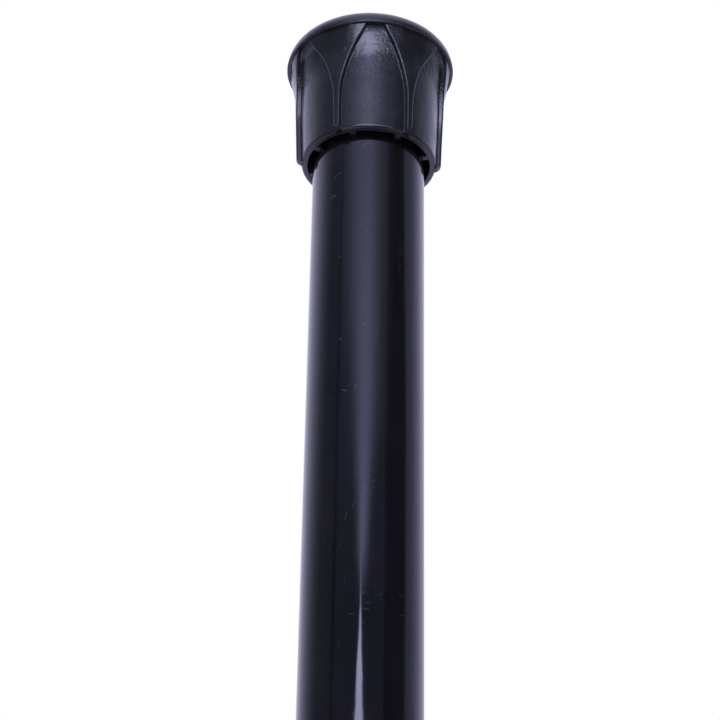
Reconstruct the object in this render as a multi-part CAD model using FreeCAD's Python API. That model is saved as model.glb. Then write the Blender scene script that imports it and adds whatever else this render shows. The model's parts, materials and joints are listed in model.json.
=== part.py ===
import FreeCAD, Part
import math
import os
from FreeCAD import Vector

# Telescopic spring tension rod: two tubes that slide one in the other, a flared foot with six
# lancet panels on each end, rubber wall pads, a twist lock and a spring inside.
# Frame: +Z along the rod, origin at the centre of the lower wall pad's face, rod closed. Millimetres.
# In names, Z0 is the low end of a piece and Z1 its high end.

# ---- tubes --------------------------------------------------------------------------------------
ROD_LENGTH = 400.0          # wall face to wall face, closed
OUTER_R, OUTER_WALL = 12.5, 0.6
INNER_R, INNER_WALL = 11.0, 0.6
OUTER_BORE = OUTER_R - OUTER_WALL
INNER_BORE = INNER_R - INNER_WALL
FIT = 0.02                  # clearance between pieces that are pressed or bonded together

# ---- foot cap, in its own height t: 0 near the open end, growing towards the wall ----------------
CAP_TOP = 30.6              # flat end of the cap
CAP_LIP = -0.85             # open end of the skirt
CAP_UNDER = 25.45           # underside of the rolled rim
CAP_FLOOR = 26.15           # seat of the tube's end
# (radius, t) up the raised ribs between the panels
RIB_PROFILE = [
    (16.29, 0.25), (16.48, 5.0), (16.69, 10.0), (16.86, 14.0), (17.0, 17.0),
    (17.22, 19.0), (17.51, 20.5), (17.83, 22.0), (18.11, 23.3), (18.55, CAP_UNDER)]
# (distance from the axis, t) of the flattened field on each rib
FACET_PROFILE = [
    (17.7, 13.0), (17.42, 17.0), (17.46, 19.0), (17.58, 20.5),
    (17.75, 22.0), (17.92, 23.3), (18.18, CAP_UNDER)]
# (t, half the angle in degrees that a panel spans): straight sides that close to a lancet point
PANEL_OUTLINE = [
    (-3.0, 27.4), (0.0, 27.4), (5.0, 27.3), (8.0, 27.0), (10.0, 26.6), (12.0, 25.6), (14.0, 24.0),
    (16.0, 22.0), (18.0, 19.6), (20.0, 16.4), (22.0, 12.8), (23.3, 10.1), (CAP_UNDER, 6.4)]
PANEL_COUNT = 6
PANEL_DEPTH = 1.12          # how far the panels are sunk below the ribs
PANEL_FOOT_R = 15.16        # radius of the skirt and the panels near the open end
CREST_ROUND, ROOT_ROUND = 0.38, 0.2   # rounding along the panels' sides
FOOT_ROUND = 0.75           # rounding at the panels' foot
RIM_R = 19.12               # widest radius of the rim
RIM_FLAT_R = 13.75          # where the rolled rim meets the flat end
RIM_EDGE = 0.3              # rounding of the rim's lower edge
RIM_STEPS = 12              # spans of the curve over the rim
SKIRT_BORE_R = 13.65
LIP_CHAMFER = 0.15
GRIP_COUNT, GRIP_PHASE = 8, 3.2       # crush ribs inside the skirt, which hold the tube
GRIP_W, GRIP_DEPTH = 1.3, 1.4
PAD_R, PAD_DEPTH, PAD_PROUD = 12.9, 2.0, 0.8

# ---- stations along the rod ---------------------------------------------------------------------
CAP_UP_T0 = ROD_LENGTH - PAD_PROUD - CAP_TOP      # z of t = 0 on the upper cap
CAP_LO_T0 = PAD_PROUD + CAP_TOP                   # z of t = 0 on the lower cap, turned over
OUTER_Z0, OUTER_Z1 = 56.0, CAP_UP_T0 + CAP_FLOOR - FIT
INNER_Z0, INNER_Z1 = CAP_LO_T0 - CAP_FLOOR + FIT, 326.0
SLEEVE_Z1 = 31.0
COLLAR_Z0, COLLAR_Z1, SPIGOT_Z1 = 53.3, 61.0, 72.0
GUIDE_Z0, GUIDE_Z1 = 314.0, 324.0
STOP_Z0, STOP_Z1 = 186.0, 200.0
PLUNGER_Z0, PLUNGER_Z1 = 298.0, 307.5
SOCKET_Z0 = PLUNGER_Z0 - 6      # floor of the plunger's hexagonal socket
PIN_Z = 303.0
BUSH_Z0 = 308.0
CAGE_Z0, CAGE_Z1, POST_Z1 = 348.0, 351.0, 366.0
SHOE_Z0, SHOE_Z1 = 351.1, 364.0
RING_GROOVE_Z0, RING_GROOVE_Z1 = 356.75, 358.75
NUT_Z0, NUT_Z1 = 355.0, 371.0
SPINDLE_Z1 = 373.5

# ---- pieces inside the tubes --------------------------------------------------------------------
PLUG_LEN = 18.5
STOP_CRIMP_Z, BUSH_CRIMP_Z = 193.0, 312.0
CRIMP_GROOVE_HALF, CRIMP_GROOVE_DEPTH = 2.1, 0.95
CRIMP_BALL_R, CRIMP_DEPTH = 2.2, 0.75
SLIDE_GAP = 0.08            # between the sliding pieces and the outer tube's bore
NOSE_R, NOSE_TIP_R = 6.9, 6.2   # noses that centre the spring
WIRE_R, COIL_R, COILS = 1.0, 8.2, 12.25
PIN_R, PIN_LEN = 1.2, 19.0
HEX_FLATS = 8.8             # spindle shank, across flats

# ---- twist lock ---------------------------------------------------------------------------------
WEDGE_TRAVEL = 3.0          # axial travel of the wedge nut over one full twist
WEDGE_TAN = 0.1             # taper of the wedge nut and the brake shoes
NUT_TIP_R = 6.5             # cone radius at the nut's low end
NUT_HEAD_R = 9.0
SHOE_R = OUTER_BORE - WEDGE_TRAVEL * WEDGE_TAN - 0.05
SHOE_CHAMFER = 0.3
SHOE_GAP = 0.15             # between the shoes and the nut's cone
SHOE_HALF, POST_HALF = 50.0, 8.0      # half angles, degrees
CAGE_R = OUTER_BORE - 0.6
RING_GROOVE_R = 9.55
RETAINER_R, RETAINER_WIRE_R = 10.7, 0.7
JOURNAL_R, LOCK_BORE_GAP = 4.0, 0.05
THREAD_Z0, THREAD_Z1, THREAD_R = 352.6, 370.5, 3.8
CLIP_GAP_HALF = 28.0        # half angle of a clip's opening, degrees
CAGE_CLIP_SEAT_R, CAGE_CLIP_R = 3.5, 5.5
NUT_CLIP_SEAT_R, NUT_CLIP_R = 3.0, 5.2


# ---- helpers ------------------------------------------------------------------------------------
def cylinder(radius, low, high):
    return Part.makeCylinder(radius, high - low, Vector(0, 0, low))


def ring(bore, radius, low, high):
    return cylinder(radius, low, high).cut(cylinder(bore, low - 1, high + 1))


def slotted_ring(bore, radius, low, high, slot):
    """Ring split by a straight slot on +X."""
    cutter = Part.makeBox(20, slot, high - low + 2, Vector(0, -slot / 2, low - 1))
    return ring(bore, radius, low, high).cut(cutter)


def spline(points):
    curve = Part.BSplineCurve()
    curve.interpolate(points)
    return curve.toShape()


def revolve(path):
    """Solid of revolution about Z from a closed path of (radius, z) points.

    ("arc", (radius, z) on the arc, (radius, z) end) and ("curve", [(radius, z), ...])
    continue the path.
    """
    edges, start = [], Vector(path[0][0], 0, path[0][1])
    for step in path[1:] + [path[0]]:
        if step[0] == "arc":
            middle = Vector(step[1][0], 0, step[1][1])
            end = Vector(step[2][0], 0, step[2][1])
            edges.append(Part.Arc(start, middle, end).toShape())
        elif step[0] == "curve":
            points = [start] + [Vector(radius, 0, z) for radius, z in step[1]]
            end = points[-1]
            edges.append(spline(points))
        else:
            end = Vector(step[0], 0, step[1])
            if end.distanceToPoint(start) < 1e-7:
                continue
            edges.append(Part.makeLine(start, end))
        start = end
    return Part.Face(Part.Wire(edges)).revolve(Vector(0, 0, 0), Vector(0, 0, 1), 360)


def polar(shape, degrees):
    copy = shape.copy()
    copy.rotate(Vector(0, 0, 0), Vector(0, 0, 1), degrees)
    return copy


def sector(radius, low, high, middle_deg, half_deg):
    """Wedge of a round bar, between two radial planes."""
    wedge = Part.makeCylinder(radius, high - low, Vector(0, 0, low), Vector(0, 0, 1), 2 * half_deg)
    return polar(wedge, middle_deg - half_deg)


def hex_bar(across_flats, low, high):
    radius = across_flats / math.sqrt(3)
    angles = [math.radians(60 * k) for k in range(7)]
    points = [Vector(radius * math.cos(angle), radius * math.sin(angle), low) for angle in angles]
    return Part.Face(Part.makePolygon(points)).extrude(Vector(0, 0, high - low))


def helix_bar(radius, pitch, low, high, profile):
    path = Part.makeHelix(pitch, high - low, radius)
    path.translate(Vector(0, 0, low))
    return Part.Wire(path.Edges).makePipeShell([profile], True, True)


def pin_bar(radius, length):
    """Bar across the rod along X, at the height of the plunger's pin."""
    return Part.makeCylinder(radius, length, Vector(-length / 2, 0, PIN_Z), Vector(1, 0, 0))


def save(name, shape):
    if shape.ShapeType == "Compound" and len(shape.Solids) == 1:
        shape = shape.Solids[0]
    shape.exportStep("parts/" + name + ".step")


def save_at_both_ends(name, shape):
    """Places a piece built in t on the upper foot and, turned over, on the lower one."""
    upper = shape.copy()
    upper.translate(Vector(0, 0, CAP_UP_T0))
    save("upper_" + name, upper)
    lower = shape.copy()
    lower.rotate(Vector(0, 0, 0), Vector(1, 0, 0), 180)
    lower.translate(Vector(0, 0, CAP_LO_T0))
    save("lower_" + name, lower)


# ---- feet ---------------------------------------------------------------------------------------
def panel_section(distance):
    """Lancet outline in the plane y = -distance."""
    right = [Vector(distance * math.tan(math.radians(angle)), -distance, t)
             for t, angle in PANEL_OUTLINE]
    left = [Vector(-point.x, point.y, point.z) for point in right]
    return Part.Wire([
        Part.makeLine(left[0], right[0]), spline(right),
        Part.makeLine(right[-1], left[-1]), spline(list(reversed(left)))])


def panel_cutter():
    """Radial-walled lancet prism on -Y, less the round core that stays as the sunk panel."""
    prism = Part.makeLoft([panel_section(13.0), panel_section(21.5)], True, True)
    face = [(radius - PANEL_DEPTH, t) for radius, t in RIB_PROFILE]
    tip_r = face[-1][0] - 0.18   # the panel stays upright at its tip, so the rim overhangs it
    foot_r = PANEL_FOOT_R - 0.03
    neck_r = PANEL_FOOT_R - FOOT_ROUND - 0.05
    bottom, top = -4.0, CAP_UNDER + 1.5
    core = revolve([
        (0, bottom), (neck_r, bottom), (neck_r, CAP_LIP - 0.05),
        ("arc", (foot_r - 0.29 * FOOT_ROUND, CAP_LIP + 0.29 * FOOT_ROUND),
         (foot_r, CAP_LIP + FOOT_ROUND)),
        ("curve", face[1:-1] + [(tip_r, CAP_UNDER), (tip_r + 0.05, top)]),
        (0, top)])
    return prism.cut(core)


def facet_cutter():
    """Takes the roundness off the flared field between two panels, on +X."""
    reach, width = 24, 16
    points = [Vector(x, 0, t) for x, t in FACET_PROFILE]
    high, low = Vector(reach, 0, points[-1].z), Vector(reach, 0, points[0].z)
    wire = Part.Wire([
        spline(points), Part.makeLine(points[-1], high),
        Part.makeLine(high, low), Part.makeLine(low, points[0])])
    cutter = Part.Face(wire).extrude(Vector(0, width, 0))
    cutter.translate(Vector(0, -width / 2, 0))
    return cutter


def grip_rib():
    """Crush rib on -Y, hollowed to the outer tube's radius."""
    seat_r = OUTER_R + FIT
    low = CAP_LIP + LIP_CHAMFER
    rib = Part.makeBox(GRIP_W, GRIP_DEPTH, CAP_FLOOR - low + 0.1,
                       Vector(-GRIP_W / 2, -seat_r - GRIP_DEPTH, low))
    return rib.cut(cylinder(seat_r, -5, 35))


def cap_blank():
    rim_low = CAP_UNDER + RIM_EDGE
    angles = [math.radians(90.0 / RIM_STEPS * k) for k in range(RIM_STEPS + 1)]
    rim = [(RIM_FLAT_R + (RIM_R - RIM_FLAT_R) * math.cos(angle),
            rim_low + (CAP_TOP - rim_low) * math.sin(angle)) for angle in angles]
    pocket_r = PAD_R + 0.1
    return revolve([
        (SKIRT_BORE_R, CAP_LIP + LIP_CHAMFER),
        (SKIRT_BORE_R + LIP_CHAMFER, CAP_LIP),
        (PANEL_FOOT_R + 0.15, CAP_LIP),
        (RIB_PROFILE[0][0] - 0.25, -0.2),
        RIB_PROFILE[0],
        ("curve", RIB_PROFILE[1:]),
        (RIM_R - RIM_EDGE, CAP_UNDER),
        ("arc", (RIM_R - 0.08, CAP_UNDER + 0.08), (RIM_R, rim_low)),
        ("curve", rim[1:]),
        (pocket_r, CAP_TOP),
        (pocket_r, CAP_TOP - PAD_DEPTH),
        (0, CAP_TOP - PAD_DEPTH),
        (0, CAP_FLOOR),
        (SKIRT_BORE_R - 0.2, CAP_FLOOR)])


def foot_cap():
    body = cap_blank()
    panel, facet, rib = panel_cutter(), facet_cutter(), grip_rib()
    for k in range(PANEL_COUNT):
        body = body.cut(polar(facet, -60 + k * 360.0 / PANEL_COUNT))
    for k in range(PANEL_COUNT):
        body = body.cut(polar(panel, k * 360.0 / PANEL_COUNT))
    for k in range(GRIP_COUNT):
        body = body.fuse(polar(rib, GRIP_PHASE + (k + 0.5) * 360.0 / GRIP_COUNT))
    body = body.removeSplitter().Solids[0]
    # the long curved edges on each side of every panel: first the crests, then the roots
    for fillet, r_low, r_high in ((CREST_ROUND, 16.5, 17.3), (ROOT_ROUND, 15.5, 16.2)):
        sides = [edge for edge in body.Edges if 26 < edge.Length < 27.6
                 and r_low < math.hypot(edge.CenterOfMass.x, edge.CenterOfMass.y) < r_high]
        body = body.makeFillet(fillet, sides)
    return body


def foot_pad():
    """Rubber wall pad with three round grooves in its face."""
    back, face = CAP_TOP - PAD_DEPTH + FIT, CAP_TOP + PAD_PROUD
    body = revolve([
        (0, back), (PAD_R, back), (PAD_R, face - 0.6),
        ("arc", (PAD_R - 0.18, face - 0.18), (PAD_R - 0.6, face)), (0, face)])
    for groove_r in (7.0, 8.8, 10.6):
        body = body.cut(ring(groove_r, groove_r + 0.7, face - 0.45, face + 1))
    return body


# ---- outer tube and end parts -------------------------------------------------------------------
def outer_tube():
    bevel = 0.1
    return revolve([
        (OUTER_BORE, OUTER_Z0), (OUTER_R - bevel, OUTER_Z0), (OUTER_R, OUTER_Z0 + bevel),
        (OUTER_R, OUTER_Z1 - bevel), (OUTER_R - bevel, OUTER_Z1), (OUTER_BORE, OUTER_Z1)])


def end_plug(radius, closed_z, way):
    """Cup with a cross web that stiffens a tube's end. way +1: closed end at the top."""
    open_z = closed_z - way * PLUG_LEN
    floor_z = closed_z - way * 3.0
    cup_bore = radius - 2.2
    body = revolve([
        (0, closed_z), (radius, closed_z), (radius, open_z + way * 0.8), (radius - 0.6, open_z),
        (cup_bore, open_z), (cup_bore, floor_z), (0, floor_z)])
    web_half, web_w = radius - 1.5, 1.4
    web_low = min(open_z + way * 2, closed_z - way * 2)
    web = Part.makeBox(2 * web_half, web_w, PLUG_LEN - 4, Vector(-web_half, -web_w / 2, web_low))
    return body.fuse([web, polar(web, 90)]).removeSplitter()


def mouth_collar():
    """Collar around the outer tube's mouth, with a spigot inside its bore."""
    slide_r, seat_r, spigot_r = INNER_R + 0.12, OUTER_R + FIT, OUTER_BORE - FIT
    return revolve([
        (slide_r, COLLAR_Z0 + 0.5), (INNER_R + 0.5, COLLAR_Z0), (13.0, COLLAR_Z0),
        ("arc", (13.42, COLLAR_Z0 + 0.18), (13.6, COLLAR_Z0 + 0.6)), (13.6, COLLAR_Z1 - 0.5),
        ("arc", (13.45, COLLAR_Z1 - 0.15), (13.1, COLLAR_Z1)), (seat_r, COLLAR_Z1),
        (seat_r, OUTER_Z0 - FIT), (spigot_r, OUTER_Z0 - FIT), (spigot_r, SPIGOT_Z1 - 0.6),
        (OUTER_BORE - 0.4, SPIGOT_Z1), (slide_r, SPIGOT_Z1)])


# ---- inner tube and its fixed parts -------------------------------------------------------------
def crimped(tube, z, phase):
    """Three crimps that lock an insert's groove to the tube."""
    centre = Vector(INNER_R + CRIMP_BALL_R - CRIMP_DEPTH, 0, z)
    bump = Part.makeSphere(CRIMP_BALL_R + INNER_WALL, centre)
    bump = bump.common(cylinder(INNER_BORE + 0.2, z - 6, z + 6))
    for k in range(3):
        angle = phase + 120 * k
        tube = tube.fuse(polar(bump, angle))
        tube = tube.cut(polar(Part.makeSphere(CRIMP_BALL_R, centre), angle))
    return tube


def inner_tube():
    tube = ring(INNER_BORE, INNER_R, INNER_Z0, INNER_Z1)
    return crimped(crimped(tube, STOP_CRIMP_Z, 30), BUSH_CRIMP_Z, 90)


def insert_side(low, crimp_z, high):
    """Path up the side of an insert in the inner tube, with its crimp groove."""
    side_r, groove_r = INNER_BORE - FIT, INNER_BORE - CRIMP_GROOVE_DEPTH
    groove_z0, groove_z1 = crimp_z - CRIMP_GROOVE_HALF, crimp_z + CRIMP_GROOVE_HALF
    return [
        (0, low), (INNER_BORE - 0.6, low), (side_r, low + 0.6), (side_r, groove_z0),
        (groove_r, groove_z0), (groove_r, groove_z1), (side_r, groove_z1), (side_r, high)]


def end_bush():
    """Flanged bush in the inner tube's upper end, with a hexagonal bore."""
    flange_r, flange_z0, flange_z1 = OUTER_BORE - SLIDE_GAP, INNER_Z1 + FIT, INNER_Z1 + 2.5
    body = revolve(insert_side(BUSH_Z0, BUSH_CRIMP_Z, flange_z0) + [
        (flange_r, flange_z0), (flange_r, flange_z1 - 0.5),
        (OUTER_BORE - 0.6, flange_z1), (0, flange_z1)])
    return body.cut(hex_bar(9.0, BUSH_Z0 - 1, INNER_Z1 + 4))


def spring_stop():
    """Seat under the spring, with a nose on top and a blind hole below."""
    body = revolve(insert_side(STOP_Z0, STOP_CRIMP_Z, STOP_Z1) + [
        (NOSE_R, STOP_Z1), (NOSE_R, STOP_Z1 + 4.5), (NOSE_TIP_R, STOP_Z1 + 5.5),
        (0, STOP_Z1 + 5.5)])
    return body.cut(cylinder(4.5, STOP_Z0 - 4, STOP_Z0 + 8))


# ---- spring, plunger, spindle and clips ---------------------------------------------------------
def compression_spring():
    """Coil run past both seats, then ground flat at both ends."""
    overrun = 0.5
    length = PLUNGER_Z0 - STOP_Z1
    coil_len = length + 2 * overrun
    pitch = coil_len / COILS
    start = STOP_Z1 - overrun
    tangent = Vector(0, 1, pitch / (2 * math.pi * COIL_R))
    section = Part.Wire([Part.makeCircle(WIRE_R, Vector(COIL_R, 0, start), tangent)])
    coil = helix_bar(COIL_R, pitch, start, start + coil_len, section)
    return coil.common(cylinder(12, STOP_Z1 + FIT, PLUNGER_Z0 - FIT))


def spring_plunger():
    """Seat above the spring, with a nose below and a hexagonal socket for the spindle."""
    head_r = INNER_BORE - 0.2
    body = revolve([
        (0, PLUNGER_Z0 - 7), (NOSE_TIP_R, PLUNGER_Z0 - 7), (NOSE_R, PLUNGER_Z0 - 6),
        (NOSE_R, PLUNGER_Z0), (head_r, PLUNGER_Z0), (head_r, PLUNGER_Z1 - 0.6),
        (head_r - 0.6, PLUNGER_Z1), (0, PLUNGER_Z1)])
    body = body.cut(hex_bar(HEX_FLATS + 2 * FIT, SOCKET_Z0, PLUNGER_Z1 + 1))
    return body.cut(pin_bar(PIN_R + FIT, 30))


def lock_spindle():
    """Hexagonal shank below, threaded journal with two clip grooves above."""
    shank = hex_bar(HEX_FLATS, SOCKET_Z0 + 0.05, CAGE_Z0)
    journal = revolve([
        (0, CAGE_Z0), (JOURNAL_R, CAGE_Z0), (JOURNAL_R, CAGE_Z1),
        (CAGE_CLIP_SEAT_R, CAGE_Z1), (CAGE_CLIP_SEAT_R, 351.9), (JOURNAL_R, 351.9),
        (JOURNAL_R, 371.25), (NUT_CLIP_SEAT_R, 371.25), (NUT_CLIP_SEAT_R, 372.15),
        (3.8, 372.15), (3.8, SPINDLE_Z1 - 0.4), (3.4, SPINDLE_Z1), (0, SPINDLE_Z1)])
    # (radius, height from the middle) of the thread groove's section
    section = [(3.25, -0.45), (4.4, -1.0), (4.4, 1.0), (3.25, 0.45), (3.25, -0.45)]
    groove = Part.makePolygon([Vector(x, 0, THREAD_Z0 + z) for x, z in section])
    thread = helix_bar(THREAD_R, WEDGE_TRAVEL, THREAD_Z0, THREAD_Z1, groove)
    body = journal.cut(thread).fuse(shank).removeSplitter()
    return body.cut(pin_bar(PIN_R + FIT, 30))


def clip(seat_r, radius, low, high, gap_deg):
    """Open clip in a spindle groove."""
    gap = sector(9, low - 1, high + 1, gap_deg, CLIP_GAP_HALF)
    return ring(seat_r + 0.05, radius, low, high).cut(gap)


# ---- twist lock: cage, wedge nut, three brake shoes and their ring ------------------------------
def ring_groove_cutter():
    return ring(RING_GROOVE_R, 20, RING_GROOVE_Z0, RING_GROOVE_Z1)


def shoe_cage():
    """Disc with three posts that stand between the shoes."""
    cage = ring(JOURNAL_R + LOCK_BORE_GAP, CAGE_R, CAGE_Z0 + 0.04, CAGE_Z1)
    for k in range(3):
        post = sector(CAGE_R, CAGE_Z1 - 0.5, POST_Z1, 60 + 120 * k, POST_HALF)
        cage = cage.fuse(post.cut(cylinder(6.25, 345, 385)))
    return cage.removeSplitter().cut(ring_groove_cutter())


def cone_r(z):
    """Radius of the wedge nut's cone."""
    return NUT_TIP_R + WEDGE_TAN * (z - NUT_Z0)


def wedge_nut():
    """Cone with a head, slotted for the cage's posts."""
    bore, cone_z1 = JOURNAL_R + LOCK_BORE_GAP, 367.2
    nut = revolve([
        (bore, NUT_Z0), (cone_r(NUT_Z0), NUT_Z0), (cone_r(cone_z1), cone_z1),
        (NUT_HEAD_R, cone_z1 + 0.4), (NUT_HEAD_R, NUT_Z1 - 0.5), (NUT_HEAD_R - 0.5, NUT_Z1),
        (bore, NUT_Z1)])
    for k in range(3):
        slot = sector(14, NUT_Z0 - 1, NUT_Z1 + 1, 60 + 120 * k, POST_HALF + 1.4)
        nut = nut.cut(slot.cut(cylinder(6.1, 345, 385)))
    return nut


def save_brake_shoes():
    """Cuts three shoes out of one tapered ring."""
    edge_r = SHOE_R - SHOE_CHAMFER
    blank = revolve([
        (cone_r(SHOE_Z0) + SHOE_GAP, SHOE_Z0), (edge_r, SHOE_Z0), (SHOE_R, SHOE_Z0 + SHOE_CHAMFER),
        (SHOE_R, SHOE_Z1 - SHOE_CHAMFER), (edge_r, SHOE_Z1), (cone_r(SHOE_Z1) + SHOE_GAP, SHOE_Z1)])
    blank = blank.cut(ring_groove_cutter())
    for k, letter in enumerate("abc"):
        span = sector(14, SHOE_Z0 - 1, SHOE_Z1 + 1, 120 * k, SHOE_HALF)
        save("brake_shoe_" + letter, blank.common(span))


def retaining_ring():
    middle = Vector(0, 0, (RING_GROOVE_Z0 + RING_GROOVE_Z1) / 2)
    return Part.makeTorus(RETAINER_R, RETAINER_WIRE_R, middle)


# ---- build --------------------------------------------------------------------------------------
os.makedirs("parts", exist_ok=True)

save_at_both_ends("foot_cap", foot_cap())
save_at_both_ends("foot_pad", foot_pad())

save("outer_tube", outer_tube())
save("upper_end_plug", end_plug(OUTER_BORE - FIT, OUTER_Z1 - FIT, 1))
save("lower_end_plug", end_plug(INNER_BORE - FIT, INNER_Z0 + FIT, -1))
save("mouth_collar", mouth_collar())

save("inner_tube", inner_tube())
save("reducing_sleeve", slotted_ring(INNER_R + FIT, OUTER_R, INNER_Z0, SLEEVE_Z1, 1.2))
save("guide_ring", slotted_ring(INNER_R + FIT, OUTER_BORE - SLIDE_GAP, GUIDE_Z0, GUIDE_Z1, 1.6))
save("end_bush", end_bush())
save("spring_stop", spring_stop())

save("compression_spring", compression_spring())
save("spring_plunger", spring_plunger())
save("plunger_pin", pin_bar(PIN_R, PIN_LEN))
save("lock_spindle", lock_spindle())
save("cage_clip", clip(CAGE_CLIP_SEAT_R, CAGE_CLIP_R, 351.06, 351.82, 0))
save("nut_stop_clip", clip(NUT_CLIP_SEAT_R, NUT_CLIP_R, 371.3, 372.1, 90))

save("shoe_cage", shoe_cage())
save("wedge_nut", wedge_nut())
save_brake_shoes()
save("shoe_retaining_ring", retaining_ring())
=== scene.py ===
# A telescopic rod with a foot at each end. It stands upright on the Z axis, drawn-out part
# below, and the camera looks up at its upper foot from the front, the -Y side.
import json
import math
import bpy
import bmesh
from mathutils import Matrix, Vector


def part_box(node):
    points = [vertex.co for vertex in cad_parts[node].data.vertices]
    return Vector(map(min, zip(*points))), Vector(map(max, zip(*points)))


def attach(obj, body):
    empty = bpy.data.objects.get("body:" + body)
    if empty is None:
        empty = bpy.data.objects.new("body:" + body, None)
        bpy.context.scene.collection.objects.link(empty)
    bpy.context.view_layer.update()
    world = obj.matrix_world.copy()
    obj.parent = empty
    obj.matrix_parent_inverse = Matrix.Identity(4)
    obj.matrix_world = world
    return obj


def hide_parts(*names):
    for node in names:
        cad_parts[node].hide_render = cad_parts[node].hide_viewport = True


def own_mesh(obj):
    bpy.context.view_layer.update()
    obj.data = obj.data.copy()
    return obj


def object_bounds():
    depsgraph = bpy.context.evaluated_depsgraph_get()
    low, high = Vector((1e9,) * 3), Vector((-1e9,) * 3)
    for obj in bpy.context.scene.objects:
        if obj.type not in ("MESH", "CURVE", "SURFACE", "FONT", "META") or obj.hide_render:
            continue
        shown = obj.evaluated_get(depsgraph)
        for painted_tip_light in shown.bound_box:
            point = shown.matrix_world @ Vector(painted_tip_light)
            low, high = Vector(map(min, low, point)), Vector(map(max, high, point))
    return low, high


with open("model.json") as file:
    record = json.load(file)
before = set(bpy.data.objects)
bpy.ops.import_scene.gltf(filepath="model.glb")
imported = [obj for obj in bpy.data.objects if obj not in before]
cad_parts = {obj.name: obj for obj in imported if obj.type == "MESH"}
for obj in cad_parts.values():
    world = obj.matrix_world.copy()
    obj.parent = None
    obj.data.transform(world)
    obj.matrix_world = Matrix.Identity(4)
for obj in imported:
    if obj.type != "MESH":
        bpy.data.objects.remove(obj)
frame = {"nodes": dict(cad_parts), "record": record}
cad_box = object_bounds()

scene = bpy.context.scene
rad = math.radians

# Driving places: metres in the scene, millimetres and degrees inside the materials
FOOT_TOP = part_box("upper_foot_pad")[1].z
FOOT_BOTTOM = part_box("lower_foot_pad")[0].z
MIDDLE_MM = (FOOT_TOP + FOOT_BOTTOM) * 500.0      # height halfway between the two ends
REACH_MM = (FOOT_TOP - FOOT_BOTTOM) * 500.0       # from there to either end
UNROLL_RADIUS_MM = 12.5                           # radius at which scratches are laid out
CAMERA_TURN = rad(-3.2)                           # camera and studio, about the rod


# =============================================================== shader fields
class Field:
    """A shader socket with arithmetic: every operator adds one node."""

    def __init__(self, socket):
        self.socket = socket

    def __add__(self, other):
        return calculate("ADD", self, other)

    def __sub__(self, other):
        return calculate("SUBTRACT", self, other)

    def __rsub__(self, other):
        return calculate("SUBTRACT", other, self)

    def __mul__(self, other):
        return calculate("MULTIPLY", self, other)

    def __truediv__(self, other):
        return calculate("DIVIDE", self, other)

    def __abs__(self):
        return calculate("ABSOLUTE", self)

    def maximum(self, other):
        return calculate("MAXIMUM", self, other)

    def ramp(self, over, to=(0.0, 1.0), **settings):
        """Straight run from to[0] at over[0] to to[1] at over[1], held beyond both ends."""
        return make("ShaderNodeMapRange", {"Value": self, "From Min": over[0], "From Max": over[1],
                                           "To Min": to[0], "To Max": to[1]}, **settings)

    def ease(self, over, to=(0.0, 1.0)):
        """The same with soft ends; over may fall as well as rise."""
        if over[0] > over[1]:
            over, to = over[::-1], to[::-1]
        return self.ramp(over, to, interpolation_type="SMOOTHSTEP")


def put(socket, value):
    """Link a field to an input, or set it to a constant; None leaves it alone."""
    if isinstance(value, Field):
        socket.id_data.links.new(value.socket, socket)
    elif value is not None:
        socket.default_value = value


def make(kind, inputs, output=0, tree=None, **settings):
    """Add a node to the given tree, or to the one its input fields belong to."""
    if tree is None:
        tree = next(v.socket.id_data for v in inputs.values() if isinstance(v, Field))
    node = tree.nodes.new(kind)
    for key, value in settings.items():
        setattr(node, key, value)
    for key, value in inputs.items():
        put(node.inputs[key], value)
    return Field(node.outputs[output])


def calculate(operation, *operands, clamp=False):
    return make("ShaderNodeMath", dict(enumerate(operands)), operation=operation, use_clamp=clamp)


def vector_math(operation, first, second=None):
    output = "Value" if operation == "LENGTH" else "Vector"
    return make("ShaderNodeVectorMath", {0: first, 1: second}, output, operation=operation)


def scaled(vector, factor):
    return make("ShaderNodeVectorMath", {0: vector, "Scale": factor}, operation="SCALE")


def shifted(vector, offset):
    return vector_math("ADD", vector, offset)


def split(vector):
    first = make("ShaderNodeSeparateXYZ", {0: vector})
    return [Field(socket) for socket in first.socket.node.outputs]


def join(x, y, z):
    return make("ShaderNodeCombineXYZ", {0: x, 1: y, 2: z})


def stretched(vector, across, along):
    """Coordinates scaled by one factor across the rod and another along it."""
    x, y, z = split(vector)
    return join(x * across, y * across, z * along)


def noise(vector, scale, detail=2.0, rough=0.5, distort=0.0):
    return make("ShaderNodeTexNoise", {"Vector": vector, "Scale": scale, "Detail": detail,
                                       "Roughness": rough, "Distortion": distort})


def mix(factor, low, high):
    """Colour between low and high."""
    low, high = [(*c, 1) if isinstance(c, tuple) else c for c in (low, high)]
    return make("ShaderNodeMix", {0: factor, 6: low, 7: high}, 2, data_type="RGBA")


def between(factor, low, high):
    """Number between low and high."""
    return make("ShaderNodeMix", {0: factor, 2: low, 3: high}, data_type="FLOAT")


def bump(height, strength, depth_mm, under=None):
    return make("ShaderNodeBump", {"Strength": strength, "Distance": depth_mm / 1000.0,
                                   "Height": height, "Normal": under})


def way_round(x, y):
    """Angle about the rod in radians, 0 at the front and positive towards +X."""
    return calculate("ARCTAN2", x, y * -1.0)


def material(name, build):
    """build takes the place in mm and returns the inputs of the principled shader."""
    look = bpy.data.materials.new(name)
    look.use_nodes = True
    tree = look.node_tree
    tree.nodes.clear()
    surface = tree.nodes.new("ShaderNodeOutputMaterial").inputs["Surface"]
    mm = scaled(make("ShaderNodeTexCoord", {}, "Object", tree=tree), 1000.0)
    shader = tree.nodes.new("ShaderNodeBsdfPrincipled")
    for key, value in build(mm).items():
        put(shader.inputs[key], value)
    put(surface, Field(shader.outputs[0]))
    return look


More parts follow.
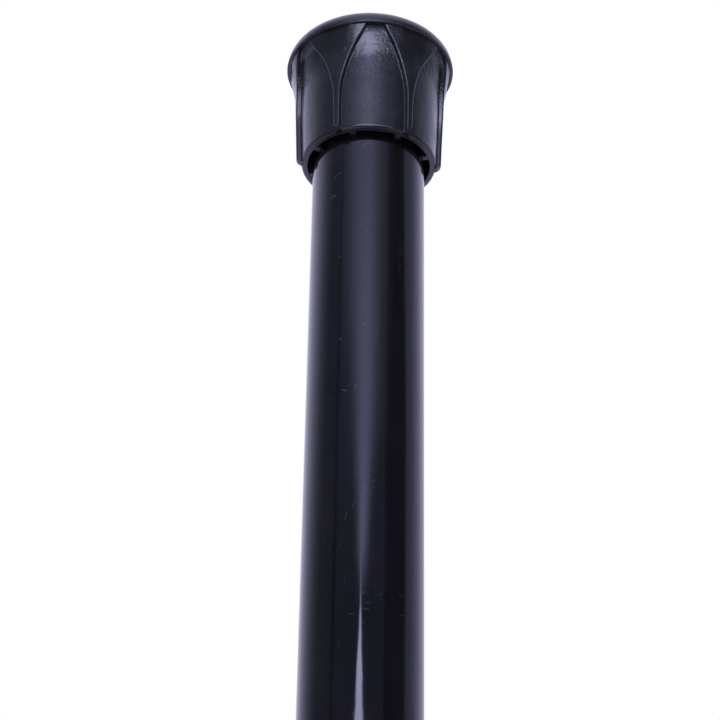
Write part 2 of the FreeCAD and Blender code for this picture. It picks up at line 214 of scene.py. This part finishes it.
# =============================================================== marks on a surface
def unrolled(mm):
    x, y, z = split(mm)
    return way_round(x, y) * UNROLL_RADIUS_MM, z


def slanted(around, z, slant):
    """Distances along and across a line that slants by some degrees on the unrolled surface."""
    cosine, sine = math.cos(rad(slant)), math.sin(rad(slant))
    return around * cosine + z * sine, z * cosine - around * sine


def strokes(mm, slant, length, width, keep, seed, patch=9.0):
    """Sparse fine scratches on a round bar: thin streaks of noise, kept only in patches."""
    around, z = unrolled(mm)
    along, across = slanted(around, z, slant)
    place = join(along / length, across / width, seed)
    streak = noise(place, scale=1.0, detail=1.0, rough=0.4).ease(over=(keep, keep + 0.03))
    patches = noise(join(around, z, seed + 7.3), scale=1.0 / patch, detail=1.0)
    return streak * patches.ease(over=(0.56, 0.66))


def grains(mm, size, keep, seed):
    """Dust: small irregular specks."""
    place = shifted(mm, (seed, seed * 1.7, seed * 0.6))
    return noise(place, scale=1.0 / size, rough=0.6).ease(over=(keep, keep + 0.03))


# Single nicks on the front of the outer tube: way round (mm, +X positive),
# height from the upper foot's end (mm), slant (degrees), length (mm)
NICKS = [
    (-7.5, -41.8, 5, 1.53), (-8.5, -42.5, 19, 0.57), (-9.0, -47.5, 6, 1.81),
    (-9.1, -47.0, -2, 0.84), (-1.6, -35.2, 50, 1.60), (-4.5, -47.6, 24, 0.27),
    (-6.7, -63.6, -58, 0.37), (6.7, -65.0, -21, 0.28), (-6.2, -84.3, -58, 0.41),
    (-4.0, -76.8, -35, 0.21), (-2.6, -96.1, 34, 0.54), (-5.0, -96.9, -23, 1.05),
    (-1.3, -81.5, 21, 0.67),
]


def nicks(mm):
    around, z = unrolled(mm)
    top = FOOT_TOP * 1000.0
    ragged = (noise(mm, scale=3.0) - 0.5) * 0.25
    total = None
    for place, height, slant, length in NICKS:
        along, across = slanted(around - place, z - (top + height), slant)
        across = across + ragged
        nick = (abs(along).ease(over=(length / 2 + 0.20, length / 2 - 0.05))
                * abs(across).ease(over=(0.20, 0.06)))
        total = nick if total is None else total.maximum(nick)
    return total


# =============================================================== materials
COOL_TINT = (0.80, 0.81, 1.0, 1.0)      # highlights of the dark glossy parts


def foot_plastic(mm):
    x, y, z = split(mm)

    def from_middle():
        return abs(z - MIDDLE_MM)

    cloudy = noise(mm, scale=0.16, detail=3.0, rough=0.55)      # slow changes of gloss
    mottle = noise(mm, scale=1.3, detail=4.0, rough=0.62, distort=0.4)      # uneven skin
    fine = noise(mm, scale=5.5, rough=0.6)
    scuffed = noise(shifted(mm, (31.0, 5.0, 2.0)), scale=0.11).ease(over=(0.48, 0.64))
    flare = from_middle().ease(over=(REACH_MM - 20.0, REACH_MM - 12.0))
    pocked = flare * noise(shifted(mm, (3.0, 9.0, 1.0)), scale=0.35).ease(over=(0.36, 0.58))
    grit = noise(shifted(mm, (8.0, 2.0, 5.0)), scale=1.15, detail=3.0, rough=0.7)
    radius = vector_math("LENGTH", join(x, y, 0.0))
    pocked = pocked * radius.ease(over=(17.6, 17.2), to=(0.35, 1.0))
    # inside the skirt: duller gloss, and a lighter, mottled colour that is painted light, standing
    # in for light that reaches into the gap
    bore = from_middle().ease(over=(REACH_MM - 5.0, REACH_MM - 7.0))
    bore = bore * radius.ease(over=(14.5, 13.9))
    specks = grains(mm, size=0.42, keep=0.72, seed=4.0)
    lines = strokes(mm, slant=20, length=2.6, width=0.15, keep=0.69, seed=21.0, patch=8.0).maximum(
        strokes(mm, slant=64, length=3.4, width=0.14, keep=0.70, seed=27.0, patch=10.0))

    tone = mix(cloudy.ease(over=(0.35, 0.7)),
               low=(0.0070, 0.0070, 0.0092), high=(0.0106, 0.0105, 0.0136))
    tone = mix((specks * 0.55).maximum(lines * 0.6), tone, high=(0.042, 0.041, 0.048))
    # painted light: the inside of the skirt is coloured lighter than the plastic
    tone = mix(bore, tone, mix(mottle.ease(over=(0.4, 0.6)),
                               low=(0.018, 0.017, 0.020), high=(0.036, 0.034, 0.038)))
    # painted light: the tips of the panels under the rim are coloured lighter, standing in for light
    # reflected up into them
    tall = from_middle()
    painted_tip_light = (tall.ease(over=(REACH_MM - 8.6, REACH_MM - 7.0))
              * tall.ease(over=(REACH_MM - 5.6, REACH_MM - 5.9)))
    painted_tip_light = painted_tip_light * radius.ease(over=(17.75, 17.45))
    tone = mix(painted_tip_light, tone, mix(mottle.ease(over=(0.35, 0.65)),
                                 low=(0.036, 0.036, 0.045), high=(0.062, 0.061, 0.076)))

    roughness = cloudy.ramp(over=(0.3, 0.7), to=(0.15, 0.24)) + bore * 0.20
    roughness = roughness + mottle.ramp(over=(0.3, 0.7), to=(-0.02, 0.05))
    roughness = roughness + scuffed * fine.ramp(over=(0.35, 0.65), to=(0.02, 0.10))
    roughness = calculate("ADD", roughness, specks.maximum(lines) * 0.16, clamp=True)

    relief = bump(cloudy, strength=0.30, depth_mm=0.35)
    relief = bump(mottle, strength=between(scuffed, low=0.10, high=0.26), depth_mm=0.10,
                  under=relief)
    relief = bump(grit, strength=scuffed * 0.10 + pocked * 0.90, depth_mm=0.22, under=relief)
    relief = bump(fine, strength=between(scuffed, low=0.06, high=0.18), depth_mm=0.03,
                  under=relief)
    return {
        "Base Color": tone,
        "Roughness": roughness,
        "IOR": 1.545,
        "Specular Tint": COOL_TINT,
        "Normal": bump(lines, strength=0.4, depth_mm=-0.012, under=relief),
    }


def painted_tube(mm):
    x, y, z = split(mm)
    flow = noise(join(x, y, z * 0.22), scale=0.32)      # long runs in the enamel
    peel = noise(join(x, y, z * 0.55), scale=0.95)      # orange peel
    haze = noise(join(x, y, z * 0.4), scale=0.12, detail=3.0, rough=0.6)
    rising = strokes(mm, slant=28, length=2.4, width=0.16, keep=0.72, seed=1.0)
    falling = strokes(mm, slant=-12, length=3.0, width=0.14, keep=0.73, seed=5.0)
    steep = strokes(mm, slant=74, length=6.0, width=0.13, keep=0.71, seed=9.0, patch=14.0)
    dust = grains(mm, size=0.30, keep=0.765, seed=11.0)
    marks = rising.maximum(falling).maximum(steep.maximum(dust * 0.8))
    marks = marks.maximum(nicks(mm))
    tone = mix(haze.ease(over=(0.35, 0.7)),
               low=(0.0024, 0.0023, 0.0036), high=(0.0036, 0.0034, 0.0052))
    gloss = haze.ramp(over=(0.3, 0.7), to=(0.045, 0.085))
    relief = bump(flow, strength=0.22, depth_mm=0.10)
    relief = bump(peel, strength=0.10, depth_mm=0.02, under=relief)
    return {
        "Base Color": mix(marks * 0.45, tone, high=(0.045, 0.044, 0.052)),
        "Roughness": calculate("ADD", gloss, marks * 0.28, clamp=True),
        "IOR": 1.525,
        "Specular Tint": COOL_TINT,
        "Normal": bump(marks, strength=0.35, depth_mm=-0.01, under=relief),
    }


def collar_plastic(mm):
    cloudy = noise(mm, scale=0.22, detail=3.0, rough=0.55)
    fine = noise(mm, scale=3.5, detail=3.0, rough=0.6)
    rubs = noise(stretched(mm, across=0.6, along=7.0), scale=0.7, rough=0.6)
    rubs = rubs.ease(over=(0.60, 0.72))
    tone = mix(cloudy, low=(0.0056, 0.0055, 0.0068), high=(0.0084, 0.0082, 0.0100))
    relief = bump(cloudy, strength=0.25, depth_mm=0.25)
    return {
        "Base Color": mix(rubs, tone, high=(0.0140, 0.0138, 0.0160)),
        "Roughness": cloudy.ramp(over=(0.3, 0.7), to=(0.14, 0.22)) + rubs * 0.12,
        "Normal": bump(fine, strength=0.10, depth_mm=0.04, under=relief),
    }


def pad_rubber(mm):
    bloom = noise(mm, scale=0.20, detail=4.0, rough=0.6)
    grain = noise(mm, scale=3.2, detail=4.0, rough=0.7)
    pits = grains(mm, size=0.5, keep=0.70, seed=2.0)
    lint = grains(mm, size=0.9, keep=0.74, seed=17.0)
    tone = mix(bloom.ease(over=(0.40, 0.68)),
               low=(0.012, 0.012, 0.013), high=(0.026, 0.025, 0.025))
    relief = bump(grain, strength=0.35, depth_mm=0.10)
    return {
        "Base Color": mix(lint * 0.6, tone, high=(0.10, 0.095, 0.09)),
        "Roughness": grain.ramp(over=(0.25, 0.75), to=(0.58, 0.82)),
        "Normal": bump(pits, strength=0.5, depth_mm=-0.08, under=relief),
    }


def inner_plastic(mm):
    swirl = noise(mm, scale=0.25, detail=4.0, rough=0.6, distort=1.4)
    fine = noise(mm, scale=4.0, detail=3.0, rough=0.6)
    relief = bump(swirl, strength=0.15, depth_mm=0.2)
    return {
        "Base Color": mix(swirl.ease(over=(0.35, 0.7)),
                          low=(0.028, 0.028, 0.030), high=(0.062, 0.061, 0.063)),
        "Roughness": fine.ramp(over=(0.3, 0.7), to=(0.36, 0.52)),
        "Normal": bump(fine, strength=0.2, depth_mm=0.05, under=relief),
    }


def natural_plastic(low, high):
    """Pale, slightly translucent plastic between two colours."""
    def build(mm):
        swirl = noise(mm, scale=0.35, detail=4.0, rough=0.6, distort=0.8)
        fine = noise(mm, scale=4.5, detail=3.0, rough=0.6)
        specks = grains(mm, size=0.35, keep=0.74, seed=8.0)
        tone = mix(swirl.ease(over=(0.35, 0.7)), low, high)
        relief = bump(swirl, strength=0.12, depth_mm=0.2)
        return {
            "Base Color": mix(specks * 0.5, tone, high=(0.35, 0.31, 0.25)),
            "Roughness": fine.ramp(over=(0.3, 0.7), to=(0.30, 0.46)),
            "Subsurface Weight": 0.12,
            "Subsurface Radius": (0.0015, 0.0012, 0.0010),
            "Normal": bump(fine, strength=0.15, depth_mm=0.05, under=relief),
        }
    return build


def shoe_rubber(mm):
    grain = noise(mm, scale=4.0, detail=4.0, rough=0.7)
    worn = noise(mm, scale=0.5, detail=3.0, rough=0.6).ease(over=(0.45, 0.65))
    return {
        "Base Color": mix(worn, low=(0.022, 0.022, 0.022), high=(0.048, 0.047, 0.045)),
        "Roughness": grain.ramp(over=(0.3, 0.7), to=(0.60, 0.85)) + worn * -0.12,
        "Normal": bump(grain, strength=0.4, depth_mm=0.09),
    }


def spring_steel(mm):
    drawn = noise(stretched(mm, across=0.5, along=9.0), scale=1.4, detail=3.0, rough=0.7)
    oil = noise(mm, scale=0.45, detail=3.0, rough=0.6)
    return {
        "Metallic": 1.0,
        "Base Color": mix(oil.ease(over=(0.35, 0.7)),
                          low=(0.22, 0.215, 0.21), high=(0.36, 0.355, 0.35)),
        "Roughness": (drawn.ramp(over=(0.25, 0.75), to=(0.20, 0.42))
                      + oil.ramp(over=(0.3, 0.7), to=(0.0, 0.08))),
        "Normal": bump(drawn, strength=0.12, depth_mm=0.02),
    }


def plated_steel(mm):
    turned = noise(stretched(mm, across=0.3, along=14.0), scale=1.0, rough=0.6)
    patina = noise(mm, scale=0.4, detail=4.0, rough=0.6, distort=0.6)
    return {
        "Metallic": 1.0,
        "Base Color": mix(patina.ease(over=(0.35, 0.7)),
                          low=(0.52, 0.515, 0.49), high=(0.66, 0.66, 0.655)),
        "Roughness": turned.ramp(over=(0.25, 0.75), to=(0.22, 0.40)),
        "Normal": bump(turned, strength=0.15, depth_mm=0.02),
    }


BUILDERS = {
    "foot_plastic": foot_plastic,
    "painted_tube": painted_tube,
    "collar_plastic": collar_plastic,
    "pad_rubber": pad_rubber,
    "inner_plastic": inner_plastic,
    "guide_plastic": natural_plastic(low=(0.60, 0.585, 0.54), high=(0.72, 0.705, 0.66)),
    "nut_plastic": natural_plastic(low=(0.70, 0.69, 0.66), high=(0.80, 0.79, 0.765)),
    "shoe_rubber": shoe_rubber,
    "spring_steel": spring_steel,
    "plated_steel": plated_steel,
}
looks = {slot: material(f"{slot}_look", build) for slot, build in BUILDERS.items()}

for row in frame["record"]["subparts"]:
    slots = frame["nodes"][row["node"]].data.materials
    look = looks[row["material_slot"]]
    if len(slots) == 0:
        slots.append(look)
    for i in range(len(slots)):
        slots[i] = look

# =============================================================== spring
WIRE_RADIUS = 0.001
SPRING_TURNS = 13.0
DEAD_TURNS = 1.0            # at each end, lying flat
DEAD_LEAD = 2 * WIRE_RADIUS * 1.02
STEPS_PER_TURN = 40
WIRE_SIDES = 14


def coil(name, radius, bottom, top):
    """Wire coil with ground ends, as one closed tube of quads."""
    wire = WIRE_RADIUS
    lead = (top - bottom - 2 * wire - 2 * DEAD_TURNS * DEAD_LEAD) / (SPRING_TURNS - 2 * DEAD_TURNS)
    last_live = SPRING_TURNS - DEAD_TURNS

    def height(turn):
        dead = min(turn, DEAD_TURNS) + max(0.0, turn - last_live)
        return bottom + wire + dead * DEAD_LEAD + max(0.0, min(turn, last_live) - DEAD_TURNS) * lead

    mesh = bpy.data.meshes.new(name)
    bm = bmesh.new()
    rings = []
    for i in range(int(SPRING_TURNS * STEPS_PER_TURN) + 1):
        turn = i / STEPS_PER_TURN
        angle = 2 * math.pi * turn
        before, after = max(turn - 0.02, 0), min(turn + 0.02, SPRING_TURNS)
        climb = (height(after) - height(before)) / ((after - before) * 2 * math.pi * radius)
        tangent = Vector((-math.sin(angle), math.cos(angle), climb)).normalized()
        outward = Vector((math.cos(angle), math.sin(angle), 0))
        side = tangent.cross(outward).normalized()
        centre = Vector((radius * math.cos(angle), radius * math.sin(angle), height(turn)))
        ring = []
        for k in range(WIRE_SIDES):
            q = 2 * math.pi * k / WIRE_SIDES
            point = centre + wire * (math.cos(q) * outward + math.sin(q) * side)
            point.z = min(max(point.z, bottom), top)        # ends ground flat
            ring.append(bm.verts.new(point))
        rings.append(ring)
    for a, b in zip(rings, rings[1:]):
        for k in range(WIRE_SIDES):
            n = (k + 1) % WIRE_SIDES
            bm.faces.new((a[k], a[n], b[n], b[k]))
    bm.faces.new(list(reversed(rings[0])))
    bm.faces.new(rings[-1])
    bmesh.ops.recalc_face_normals(bm, faces=bm.faces)
    bm.to_mesh(mesh)
    bm.free()
    for face in mesh.polygons:
        face.use_smooth = len(face.vertices) == 4
    coil_object = bpy.data.objects.new(name, mesh)
    scene.collection.objects.link(coil_object)
    mesh.materials.append(looks["spring_steel"])
    return coil_object


low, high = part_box("compression_spring")
spring = coil("coil_spring", (high.x - low.x) / 2 - WIRE_RADIUS, low.z, high.z)
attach(spring, "spindle")
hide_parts("compression_spring")
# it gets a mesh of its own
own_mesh(spring)

# =============================================================== camera
RIB_END_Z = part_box("upper_foot_cap")[1].z - 0.0306     # lower ends of the upper foot's ribs
CAMERA_PLACE = Vector((-0.001186, -0.402413, RIB_END_Z - 0.291242))     # before the turn
PITCH, ROLL = rad(30.8108), rad(0.98383)

forward = Vector((0, math.cos(PITCH), math.sin(PITCH)))
level_up = Vector((0, -math.sin(PITCH), math.cos(PITCH)))
level_right = Vector((1, 0, 0))
right = math.cos(ROLL) * level_right + math.sin(ROLL) * level_up
up = -math.sin(ROLL) * level_right + math.cos(ROLL) * level_up
pose = Matrix((right, up, -forward)).transposed().to_4x4()
pose.translation = CAMERA_PLACE

camera_data = bpy.data.cameras.new("camera")
camera_data.sensor_width = 36
camera_data.lens = 110.061
camera_data.clip_start = 0.01
camera_data.clip_end = 20
camera = bpy.data.objects.new("camera", camera_data)
scene.collection.objects.link(camera)
camera.matrix_world = Matrix.Rotation(CAMERA_TURN, 4, "Z") @ pose
scene.camera = camera


# =============================================================== studio
# side: degrees to the camera's right, seen from the rod, 0 towards the camera
# rise: degrees above the horizon
TABLE_STRIPS = [(-40.0, 20.0, 0.75), (52.0, 12.0, 0.45), (0.0, 9.0, 0.50)]  # side, half width, level


def add_walls(side, rise):
    # the left backdrop draws back towards the floor
    left = (side + rise.ramp(over=(35.0, 24.0), to=(0.0, 12.0))).ease(over=(-70.0, -138.0))
    right_near = (side + rise.ramp(over=(29.0, 36.0), to=(0.0, 9.0))).ease(over=(82.0, 92.0))
    right_far = side.ease(over=(92.0, 140.0))
    gap = side.ease(over=(38.0, 44.0))
    level = between(gap, low=0.20, high=0.075)
    level = between(right_near, level, high=0.42)
    level = between(right_far, level, rise.ramp(over=(25.0, 38.0), to=(0.85, 1.05)))
    level = between(left, level, high=1.05)
    # narrow darker band on the left
    return level * abs(side + 54.0).ease(over=(1.5, 6.0), to=(0.55, 1.0))


def add_window(level, side, rise):
    """A glow above the lamp, narrow where it starts and wider further up, more so to the left."""
    off = side + 1.0
    spread_left = rise.ramp(over=(26.2, 36.0), to=(5.5, 25.0))
    spread_right = rise.ramp(over=(26.2, 30.0), to=(6.5, 14.7))
    off = off / between(calculate("GREATER_THAN", off, 0.0), spread_left, spread_right)
    peak = calculate("POWER", 2.718, off * off * -0.5)
    peak = peak * rise.ramp(over=(26.0, 36.0), to=(1.95, 0.93))
    wide = (abs(side + 3.0).ease(over=(66.0, 20.0))
            * rise.ease(over=(27.0, 33.0), to=(0.05, 0.24)))
    return level + (peak + wide) * rise.ease(over=(24.7, 26.3))


def add_table(level, side, rise):
    """Below the horizon: dark in front, the pale table at the sides and behind."""
    table = abs(side).ease(over=(70.0, 115.0), to=(0.16, 0.90))
    for middle, half, strength in TABLE_STRIPS:
        strip = abs(side - middle).ease(over=(half, half * 0.55))
        table = table + strip * strength
    return between(rise.ease(over=(4.0, -10.0)), level, table)


def cone(side, rise, tip, slope):
    """Positive inside a shape that broadens downwards from its tip."""
    return (tip - rise) * slope - abs(side + 2.5)


def lamp_shape(side, rise):
    lamp = cone(side, rise, tip=24.6, slope=2.3).ease(over=(-2.0, 1.6))
    lamp = lamp * side.ease(over=(-22.5, -19.0))
    lamp = lamp * side.ease(over=(39.0, 34.0))
    return lamp * rise.ease(over=(-8.0, 2.0))


def studio():
    """Reflections see the painted studio, the camera sees white, all else a soft white."""
    world = bpy.data.worlds.new("studio")
    scene.world = world
    world.use_nodes = True
    tree = world.node_tree
    tree.nodes.clear()
    surface = tree.nodes.new("ShaderNodeOutputWorld").inputs["Surface"]
    direction = make("ShaderNodeTexCoord", {}, "Generated", tree=tree)
    x, y, z = split(vector_math("NORMALIZE", direction))
    side = way_round(x, y) * (180 / math.pi) - math.degrees(CAMERA_TURN)
    side = calculate("WRAP", side, 180.0, -180.0)
    rise = calculate("ARCSINE", z) * (180 / math.pi)

    level = add_walls(side, rise)
    level = add_window(level, side, rise)
    level = between(rise.ease(over=(46.0, 72.0)), level, high=0.92)      # ceiling
    level = add_table(level, side, rise)
    lamp = lamp_shape(side, rise)
    level = level + lamp * side.ease(over=(16.0, 7.0), to=(3.3, 6.9))    # dimmer to the right
    halo = cone(side, rise, tip=26.6, slope=1.3).ease(over=(-1.0, 2.2))
    level = level + halo * rise.ease(over=(21.5, 23.5), to=(0.0, 0.62))

    hue = mix(abs(side).ease(over=(88.0, 118.0)), low=(0.92, 0.93, 1.27), high=(0.95, 0.945, 1.30))
    hue = mix(lamp, hue, high=(0.96, 0.965, 1.16))

    def background(color, strength):
        return make("ShaderNodeBackground", {"Color": color, "Strength": strength}, tree=tree)

    glossy = background(color=scaled(hue, level), strength=1.0)
    soft = background(color=(0.97, 0.97, 1.0, 1), strength=0.85)
    white = background(color=(1, 1, 1, 1), strength=1.0)
    path = make("ShaderNodeLightPath", {}, tree=tree).socket.node.outputs
    seen = make("ShaderNodeMixShader", {0: Field(path["Is Glossy Ray"]), 1: soft, 2: glossy})
    seen = make("ShaderNodeMixShader", {0: Field(path["Is Camera Ray"]), 1: seen, 2: white})
    put(surface, seen)


studio()
scene.view_settings.view_transform = "Standard"
scene.view_settings.look = "None"

# Key light, in front, above and to the left, aimed low on the rod's axis
KEY_TARGET = Vector((0, 0, 0.2))
key_data = bpy.data.lights.new("key", "AREA")
key_data.energy = 9.0
key_data.shape = "DISK"
key_data.size = 0.9
key = bpy.data.objects.new("key", key_data)
scene.collection.objects.link(key)
key.location = (-0.55, -0.75, 1.35)
key.rotation_euler = (KEY_TARGET - key.location).to_track_quat("-Z", "Y").to_euler()
key.visible_glossy = False


# =============================================================== floor
def floor_look(mm):
    tone = noise(mm, scale=0.004, detail=3.0)
    # fades into the white surroundings far away, and seen from below it lets the rod through
    back = make("ShaderNodeNewGeometry", {}, "Backfacing", tree=mm.socket.id_data)
    distance = vector_math("LENGTH", vector_math("MULTIPLY", mm, (1.0, 1.0, 0.0)))
    near = distance.ease(over=(3600.0, 900.0))
    return {
        "Base Color": mix(tone, low=(0.86, 0.86, 0.865), high=(0.90, 0.90, 0.905)),
        "Roughness": 0.75,
        "Specular IOR Level": 0.2,
        "Alpha": (1.0 - back) * near,
    }


floor_mesh = bpy.data.meshes.new("floor")
bm = bmesh.new()
bmesh.ops.create_grid(bm, x_segments=8, y_segments=8, size=15.0)
bm.to_mesh(floor_mesh)
bm.free()
floor = bpy.data.objects.new("floor", floor_mesh)
floor.location = (0, 0, cad_box[0][2] - 0.0002)     # just under the lower foot
scene.collection.objects.link(floor)
floor_mesh.materials.append(material("floor_look", floor_look))
floor.visible_glossy = False
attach(floor, "inner")     # stays under the lower foot, so it never hides the drawn-out rod
